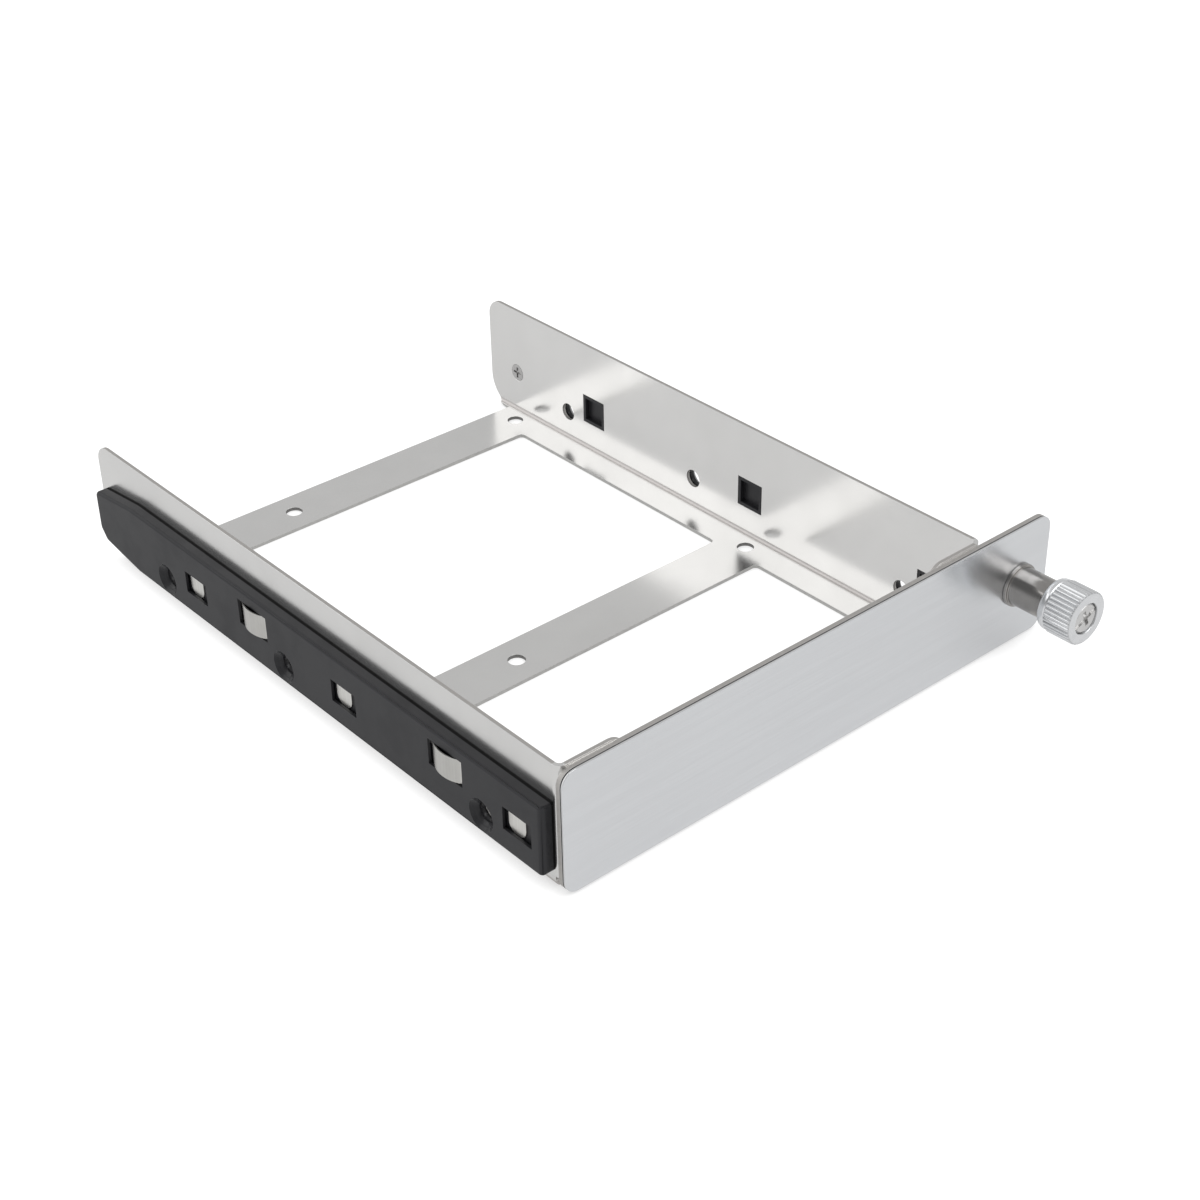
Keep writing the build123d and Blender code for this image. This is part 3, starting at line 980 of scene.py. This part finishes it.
@dataclass
class GuideRail:
    """One guide rail: base moulding, cover, spring strip and its fixing screw."""

    side: Side
    base_rounding: float = 0.12
    strip_rounding: float = 0.04
    screw_rounding: float = 0.07
    front: float = -56.05
    low: float = 3.3
    high: float = 18.1
    outer: float = 54.4
    outline_depth: float = 53.9
    end_radius: float = 1.3
    foot_radius: float = 1.3
    brow_radius: float = 0.6
    outline_rounding: float = 0.25
    corner_steps: int = 5
    broad_corners: int = 6
    edge_rounding: float = 0.08
    hole_y: tuple[float, ...] = (62.1, 20.5, -39.5)
    hole_z: float = 7.15
    hole_reach: float = 3.4
    lead_in: float = 66.0

    def on_outline(self, edge: bmesh.types.BMEdge) -> bool:
        """Whether an edge is one of the cover's outer corners, and not a window's or a hole's.

        Args:
            edge: The edge.

        Returns:
            True on the outline.
        """
        if len(edge.link_faces) != 2 or edge.calc_face_angle(0.0) < math.radians(40):
            return False
        for vert in edge.verts:
            x, y, z = vert.co
            if abs(x) < self.outline_depth:
                return False
            if any(math.hypot(y - along, z - self.hole_z) < self.hole_reach for along in self.hole_y):
                return False
            upright = self.low + 1.0 <= z <= self.high - 1.0
            if upright and self.front + 1.2 <= y <= self.lead_in:
                return False
        return True

    def round_corner(
        self, mesh: bmesh.types.BMesh, corner: Point, first: Point, second: Point, radius: float
    ) -> None:
        """Rounds one long corner of the cover with cuts that touch its round.

        Args:
            mesh: The cover.
            corner: A point of the corner's edge.
            first: The outward normal of one of its faces.
            second: The outward normal of the other.
            radius: The round's radius.
        """
        centre = Vector(corner) - radius * (Vector(first) + Vector(second))
        for step in range(1, self.corner_steps):
            turn = math.pi / 2 * step / self.corner_steps
            facing = math.cos(turn) * Vector(first) + math.sin(turn) * Vector(second)
            cut_off(mesh, tuple(centre + radius * facing), tuple(facing))

    def cover(self) -> bpy.types.Object:
        """Takes the cover from its CAD solid and gives it the moulding's soft outer corners.

        Returns:
            The cover.
        """
        word = self.side.name.lower()
        mesh = cad_mesh(f"{word}_rail_cover")
        out, ahead = (self.side.value, 0.0, 0.0), (0.0, -1.0, 0.0)
        down, up = (0.0, 0.0, -1.0), (0.0, 0.0, 1.0)
        nose = (self.side.value * self.outer, self.front, 0.0)
        self.round_corner(mesh, nose, out, ahead, self.end_radius)
        self.round_corner(mesh, (0.0, self.front, self.low), down, ahead, self.foot_radius)
        self.round_corner(mesh, (0.0, self.front, self.high), up, ahead, self.brow_radius)
        bmesh.ops.recalc_face_normals(mesh, faces=mesh.faces)
        bmesh.ops.dissolve_limit(
            mesh,
            angle_limit=FLAT_ANGLE,
            verts=mesh.verts,
            edges=mesh.edges,
            use_dissolve_boundaries=False,
        )
        bmesh.ops.bevel(
            mesh,
            geom=[edge for edge in mesh.edges if self.on_outline(edge)],
            offset=self.outline_rounding,
            offset_type="OFFSET",
            segments=3,
            profile=0.5,
            affect="EDGES",
            material=-1,
            clamp_overlap=False,
        )
        broad = [face for face in mesh.faces if len(face.verts) > self.broad_corners]
        bmesh.ops.triangulate(mesh, faces=broad)
        piece = finished(f"{word}_rail_shell", mesh, Body.CADDY, sharp=40.0)
        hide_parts(f"{word}_rail_cover")
        return rounded(piece, self.edge_rounding, 2, 35.0)

    def build(
        self, plastic: bpy.types.Material, spring: bpy.types.Material, screw: bpy.types.Material
    ) -> None:
        """Softens and dresses the rail's pieces.

        Args:
            plastic: The mouldings' finish.
            spring: The spring strip's finish.
            screw: The fixing screw's finish.
        """
        word = self.side.name.lower()
        dress(soften(f"{word}_rail_base", self.base_rounding), plastic)
        dress(self.cover(), plastic)
        dress(soften(f"{word}_spring_strip", self.strip_rounding), spring)
        dress(soften(f"{word}_rail_screw", self.screw_rounding), screw)


@dataclass
class Thumbscrew:
    """The captive thumbscrew: ferrule, knurled knob, screw, retaining ring and return spring."""

    x: float = 61.9
    z: float = 13.1
    face: float = -59.35
    knob_rear: float = 8.5
    knob_front: float = 16.5
    knob_radius: float = 5.5
    collar_radius: float = 5.3
    collar_length: float = 2.0
    knob_bevel: float = 0.45
    cup_radius: float = 4.15
    cup_floor: float = 14.5
    recess_radius: float = 3.2
    recess_depth: float = 1.2
    bore_radius: float = 1.83
    teeth: int = 36
    tooth_steps: int = 8
    flute: tuple[float, ...] = (0.30, 0.20, 0.08, 0.02, 0.0)
    thread_start: float = 2.8
    thread_end: float = 7.8
    thread_radius: float = 1.75
    thread_root: float = 1.40
    thread_pitch: float = 0.6
    wire_radius: float = 0.22
    coil_radius: float = 2.45
    coil_turns: float = 6.0
    coil_rear: float = 0.65
    coil_front: float = 14.45
    travel: float = 5.0

    def centre(self) -> Point:
        """The point of the axis in the plane of the fascia."""
        return (self.x, self.face, self.z)

    def knob(self) -> bpy.types.Object:
        """Turns the knob's cup and cuts straight flutes round it.

        Returns:
            The knob.
        """
        rear, front = -self.knob_rear, -self.knob_front
        collar, knob, recess = self.collar_radius, self.knob_radius, front + self.recess_depth
        knurl_start, shoulder = rear - self.collar_length, front + self.knob_bevel
        profile = [
            (self.cup_radius, rear),
            (collar - 0.85, rear),
            (collar - 0.52, rear - 0.12),
            (collar - 0.22, rear - 0.38),
            (collar - 0.05, rear - 0.78),
            (collar, rear - 1.2),
            (collar, knurl_start + 0.34),
            (collar - 0.16, knurl_start + 0.14),
            (knob - 0.12, knurl_start),
            (knob, knurl_start - 0.12),
            (knob, (knurl_start + shoulder) / 2),
            (knob, shoulder),
            (knob - 0.04, shoulder - 0.17),
            (knob - 0.13, shoulder - 0.32),
            (knob - 0.28, shoulder - 0.41),
            (knob - self.knob_bevel, front),
            (self.recess_radius + 0.12, front),
            (self.recess_radius, front + 0.12),
            (self.recess_radius, recess),
            (self.bore_radius, recess),
            (self.bore_radius, -self.cup_floor),
            (self.cup_radius, -self.cup_floor),
        ]
        mesh = Lathe(self.centre(), self.teeth * self.tooth_steps).turn(profile, closed=True)
        for vert in mesh.verts:
            across, up = vert.co.x - self.x, vert.co.z - self.z
            radius = math.hypot(across, up)
            ahead = vert.co.y - self.face
            if radius > self.collar_radius - 0.2 and ahead < knurl_start + 0.01:
                place = round(math.atan2(up, across) / math.tau * self.teeth * self.tooth_steps)
                step = place % self.tooth_steps
                depth = self.flute[min(step, self.tooth_steps - step)]
                share = min(radius, self.knob_radius - depth) / radius
                vert.co.x = self.x + across * share
                vert.co.z = self.z + up * share
        return finished("knurled_knob", mesh, Body.THUMBSCREW, sharp=28.0)

    def screw(self) -> bpy.types.Object:
        """Takes the head and shank from the CAD solid and puts a real thread on the end.

        Returns:
            The screw.
        """
        mesh = cad_mesh("captive_screw")
        cut = self.face + self.thread_start + 0.15
        cut_off(mesh, (self.x, cut, self.z), (0.0, 1.0, 0.0))
        end = self.face + self.thread_end
        core = Lathe((self.x, 0.0, self.z), 48).turn(
            [
                (0.0, cut - 0.02),
                (self.thread_root, cut - 0.02),
                (self.thread_root, end - 0.25),
                (self.thread_root - 0.3, end),
                (0.0, end),
            ],
            closed=False,
        )
        ridge = bmesh.new()
        half = self.thread_pitch / 2
        start = Vector((self.x, cut - half, self.z))
        shape = [
            (self.thread_root - 0.03, 0.02),
            (self.thread_radius - 0.02, half - 0.05),
            (self.thread_radius - 0.02, half + 0.05),
            (self.thread_root - 0.03, self.thread_pitch - 0.02),
        ]
        corners = [ridge.verts.new(start + Vector((radius, along, 0))) for radius, along in shape]
        for pair in zip(corners, corners[1:] + corners[:1]):
            ridge.edges.new(pair)
        turns = (end - 0.2 - cut) / self.thread_pitch - 0.5
        wind(ridge, tuple(start), self.thread_pitch, turns, 40)
        bmesh.ops.holes_fill(ridge, edges=ridge.edges, sides=4)
        bmesh.ops.recalc_face_normals(ridge, faces=ridge.faces)
        for part in (core, ridge):
            add_part(mesh, part)
        return finished("threaded_captive_screw", mesh, Body.THUMBSCREW)

    def coil(self) -> bpy.types.Object:
        """Winds the return spring from round wire.

        Returns:
            The spring.
        """
        mesh = bmesh.new()
        back = self.face - self.coil_rear - self.wire_radius
        front = self.face - self.coil_front + self.wire_radius
        bmesh.ops.create_circle(mesh, segments=14, radius=self.wire_radius, cap_ends=False)
        bmesh.ops.translate(mesh, vec=Vector((self.coil_radius + self.x, back, self.z)), verts=mesh.verts)
        wind(mesh, (self.x, back, self.z), (front - back) / self.coil_turns, self.coil_turns, 44)
        bmesh.ops.holes_fill(mesh, edges=mesh.edges, sides=14)
        bmesh.ops.recalc_face_normals(mesh, faces=mesh.faces)
        piece = finished("return_spring_coil", mesh, Body.CADDY, sharp=80.0)
        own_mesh(piece)
        return piece

    def build(self, spring: bpy.types.Material) -> None:
        """Makes and dresses the thumbscrew's pieces.

        Args:
            spring: The spring's and the ring's finish.
        """
        about = {"axis_x": self.x, "axis_z": self.z}
        nickel = TurnedMetal("turned_nickel", (0.38, 0.368, 0.356), (0.30, 0.29, 0.28), 0.11, **about)
        flutes = (self.face - self.knob_front + 0.05, self.face - self.knob_rear - self.collar_length)
        groove = self.knob_radius - 0.06
        # Painted shade in the knob's knurl grooves, at 0.45 strength.
        cut = {"relief": 0.00002, "groove_radius": groove, "groove_share": 0.45, "groove_y": flutes}
        zinc = TurnedMetal("bright_zinc", (0.84, 0.85, 0.865), (0.77, 0.78, 0.795), 0.20, **cut, **about)
        steel = TurnedMetal("plated_screw_head", (0.74, 0.735, 0.73), (0.66, 0.655, 0.65), 0.30, **about)
        dress(soften("ferrule", 0.2, steps=3), nickel.material())
        knob = self.knob()
        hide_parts("thumbscrew_knob")
        dress(knob, zinc.material())
        screw = self.screw()
        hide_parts("captive_screw")
        dress(screw, steel.material())
        dress(soften("retaining_ring", 0.05), spring)
        coil = self.coil()
        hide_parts("return_spring")
        dress(coil, spring)


@dataclass
class Studio:
    """A white table, a soft box behind on the left and the photograph's camera."""

    azimuth: float = -40.28
    elevation: float = 32.98
    roll: float = -1.18
    distance: float = 431.9
    target: Point = (11.08, 5.19, 0.8)
    lens: float = 64.107
    sensor: float = 36.0
    key_direction: Point = (-0.54, 0.64, 0.54)
    key_distance: float = 900.0
    key_size: tuple[float, float] = (900.0, 620.0)
    key_radiance: float = 0.89
    fill_direction: Point = (0.20, -0.64, 0.74)
    fill_size: tuple[float, float] = (800.0, 500.0)
    fill_radiance: float = 1.8
    camera_shade: float = 0.40
    table_level: float = 0.76
    sky_level: float = 0.61
    floor_half: float = 4000.0
    floor_drop: float = 0.02
    glow: float = 0.80
    contact: float = 2.8
    contact_depth: float = 0.45
    paper: float = 0.9
    seen_paint: float = 0.5
    mirrored_paint: float = 0.26
    mirrored_drop: float = 0.2
    horizon: tuple[float, float] = (0.02, 0.35)
    shade_edge: tuple[float, float] = (0.80, 0.97)

    def towards_camera(self) -> Vector:
        """The direction from the object to the camera."""
        turn, lift = math.radians(self.azimuth), math.radians(self.elevation)
        return Vector((math.sin(turn) * math.cos(lift), -math.cos(turn) * math.cos(lift), math.sin(lift)))

    def camera(self) -> None:
        """Sets the camera where the photograph was taken from."""
        back = self.towards_camera()
        level = (-back).cross(Vector((0, 0, 1))).normalized()
        upright = level.cross(-back)
        tilt = math.radians(self.roll)
        right = math.cos(tilt) * level + math.sin(tilt) * upright
        up = math.cos(tilt) * upright - math.sin(tilt) * level
        place = (Vector(self.target) + self.distance * back) * MM
        data = bpy.data.cameras.new("photo_camera")
        data.lens, data.sensor_width = self.lens, self.sensor
        data.clip_start, data.clip_end = 0.01, 50.0
        camera = placed("photo_camera", data)
        axes = Matrix((right, up, back)).transposed()
        camera.matrix_world = Matrix.Translation(place) @ axes.to_4x4()
        bpy.context.scene.camera = camera

    def soft_box(self, name: str, direction: Point, size: tuple[float, float], radiance: float) -> None:
        """Hangs one soft box, which faces the object.

        Args:
            name: The lamp's name.
            direction: Where it hangs, as seen from the object.
            size: Its width and height in millimetres.
            radiance: How bright its front looks, where 1 is white.
        """
        data = bpy.data.lights.new(name, "AREA")
        data.shape = "RECTANGLE"
        data.size, data.size_y = size[0] * MM, size[1] * MM
        data.energy = radiance * math.pi * data.size * data.size_y
        lamp = placed(name, data)
        towards = Vector(direction).normalized()
        lamp.location = towards * self.key_distance * MM
        lamp.rotation_euler = towards.to_track_quat("Z", "Y").to_euler()
        lamp.visible_camera = False

    def sky(self) -> None:
        """Lights the scene evenly, with a white background."""
        bench = SkyBench("white_room")
        way = bench.node("ShaderNodeTexCoord", {}, {}, "Generated")
        rise = bench.node("ShaderNodeSeparateXYZ", {}, {0: way}, "Z").ramp(*self.horizon)
        pair = {0: way, 1: self.towards_camera()}
        beside = bench.node("ShaderNodeVectorMath", {"operation": "DOT_PRODUCT"}, pair, "Value")
        level = self.table_level + (self.sky_level - self.table_level) * rise
        level = level * (1 - (1 - self.camera_shade) * beside.ramp(*self.shade_edge))
        rays = bench.node("ShaderNodeLightPath", {}, {}, "Is Camera Ray")
        level = bench.node("ShaderNodeMix", {"data_type": "FLOAT"}, {0: rays, 2: level, 3: 1.0})
        ground = bench.node("ShaderNodeBackground", {}, {"Color": WHITE, "Strength": level})
        bench.node("ShaderNodeOutputWorld", {}, {"Surface": ground})
        bpy.context.scene.world = bench.world

    def lit(self, bench: Bench, paint: float, glow: Value) -> Wire:
        """A grey surface that also glows.

        Args:
            bench: The finish's node tree.
            paint: How pale the grey is.
            glow: How bright the glow is, where 1 is white.

        Returns:
            The surface.
        """
        light = bench.node("ShaderNodeEmission", {}, {"Color": WHITE, "Strength": glow})
        return bench.node("ShaderNodeAddShader", {}, {0: self.matt(bench, paint), 1: light})

    @staticmethod
    def matt(bench: Bench, paint: float) -> Wire:
        """A plain grey surface."""
        return bench.node("ShaderNodeBsdfDiffuse", {}, {"Color": (paint, paint, paint, 1.0)})

    def floor(self) -> None:
        """Lays the white table, which keeps a faint soft shadow."""
        mesh = bmesh.new()
        bmesh.ops.create_grid(mesh, x_segments=1, y_segments=1, size=self.floor_half * MM)
        bmesh.ops.translate(mesh, vec=Vector((0, 0, -self.floor_drop * MM)), verts=mesh.verts)
        data = bpy.data.meshes.new("white_table")
        mesh.to_mesh(data)
        mesh.free()
        table = placed("white_table", data)
        bench = Bench("white_table_top")
        distance = {"Distance": self.contact * MM}
        open_sky = bench.node("ShaderNodeAmbientOcclusion", {"samples": 12}, distance, "AO")
        level = self.glow * (1 - self.contact_depth + self.contact_depth * open_sky)
        seen = self.lit(bench, self.seen_paint, level)
        mirrored = self.lit(bench, self.mirrored_paint, self.table_level - self.mirrored_drop)
        rays = bench.node("ShaderNodeLightPath", {}, {}, "Is Camera Ray")
        glossy, clear = (
            Wire(bench, rays.socket.node.outputs[f"Is {kind} Ray"]) for kind in ("Glossy", "Transmission")
        )
        paper = self.matt(bench, self.paper)
        both = bench.node("ShaderNodeMixShader", {}, {0: glossy.larger(clear), 1: paper, 2: mirrored})
        table_top = bench.node("ShaderNodeMixShader", {}, {0: rays, 1: both, 2: seen})
        bench.node("ShaderNodeOutputMaterial", {}, {"Surface": table_top})
        data.materials.append(bench.material)

    def build(self) -> None:
        """Sets up the table, the light and the camera."""
        self.camera()
        self.soft_box("key_soft_box", self.key_direction, self.key_size, self.key_radiance)
        self.soft_box("fill_soft_box", self.fill_direction, self.fill_size, self.fill_radiance)
        self.sky()
        self.floor()
        bpy.context.scene.view_settings.view_transform = "Standard"
        log.info("studio set")


def main() -> None:
    """Builds every sub-assembly in order."""
    logging.basicConfig(level=logging.INFO, format="%(name)s %(message)s")
    Studio().build()
    FoldedTray().build()
    FrontPanel().build()
    plastic = MouldedPlastic("charcoal_moulding").material()
    # The spring strip's outer bows get painted shade.
    spring_finish = LinedMetal(
        "spring_strip_metal", (0.82, 0.81, 0.775), (0.70, 0.69, 0.665), 0.26, Grain.ALONG_Z, bow_shade_share=0.5
    )
    spring = spring_finish.material()
    fixing = LinedMetal("fixing_screw_metal", (0.56, 0.555, 0.55), (0.48, 0.475, 0.47), 0.22).material()
    for side in Side:
        GuideRail(side).build(plastic, spring, fixing)
    Thumbscrew().build(spring)
    log.info("boxes written")


if __name__ == "__main__":
    main()
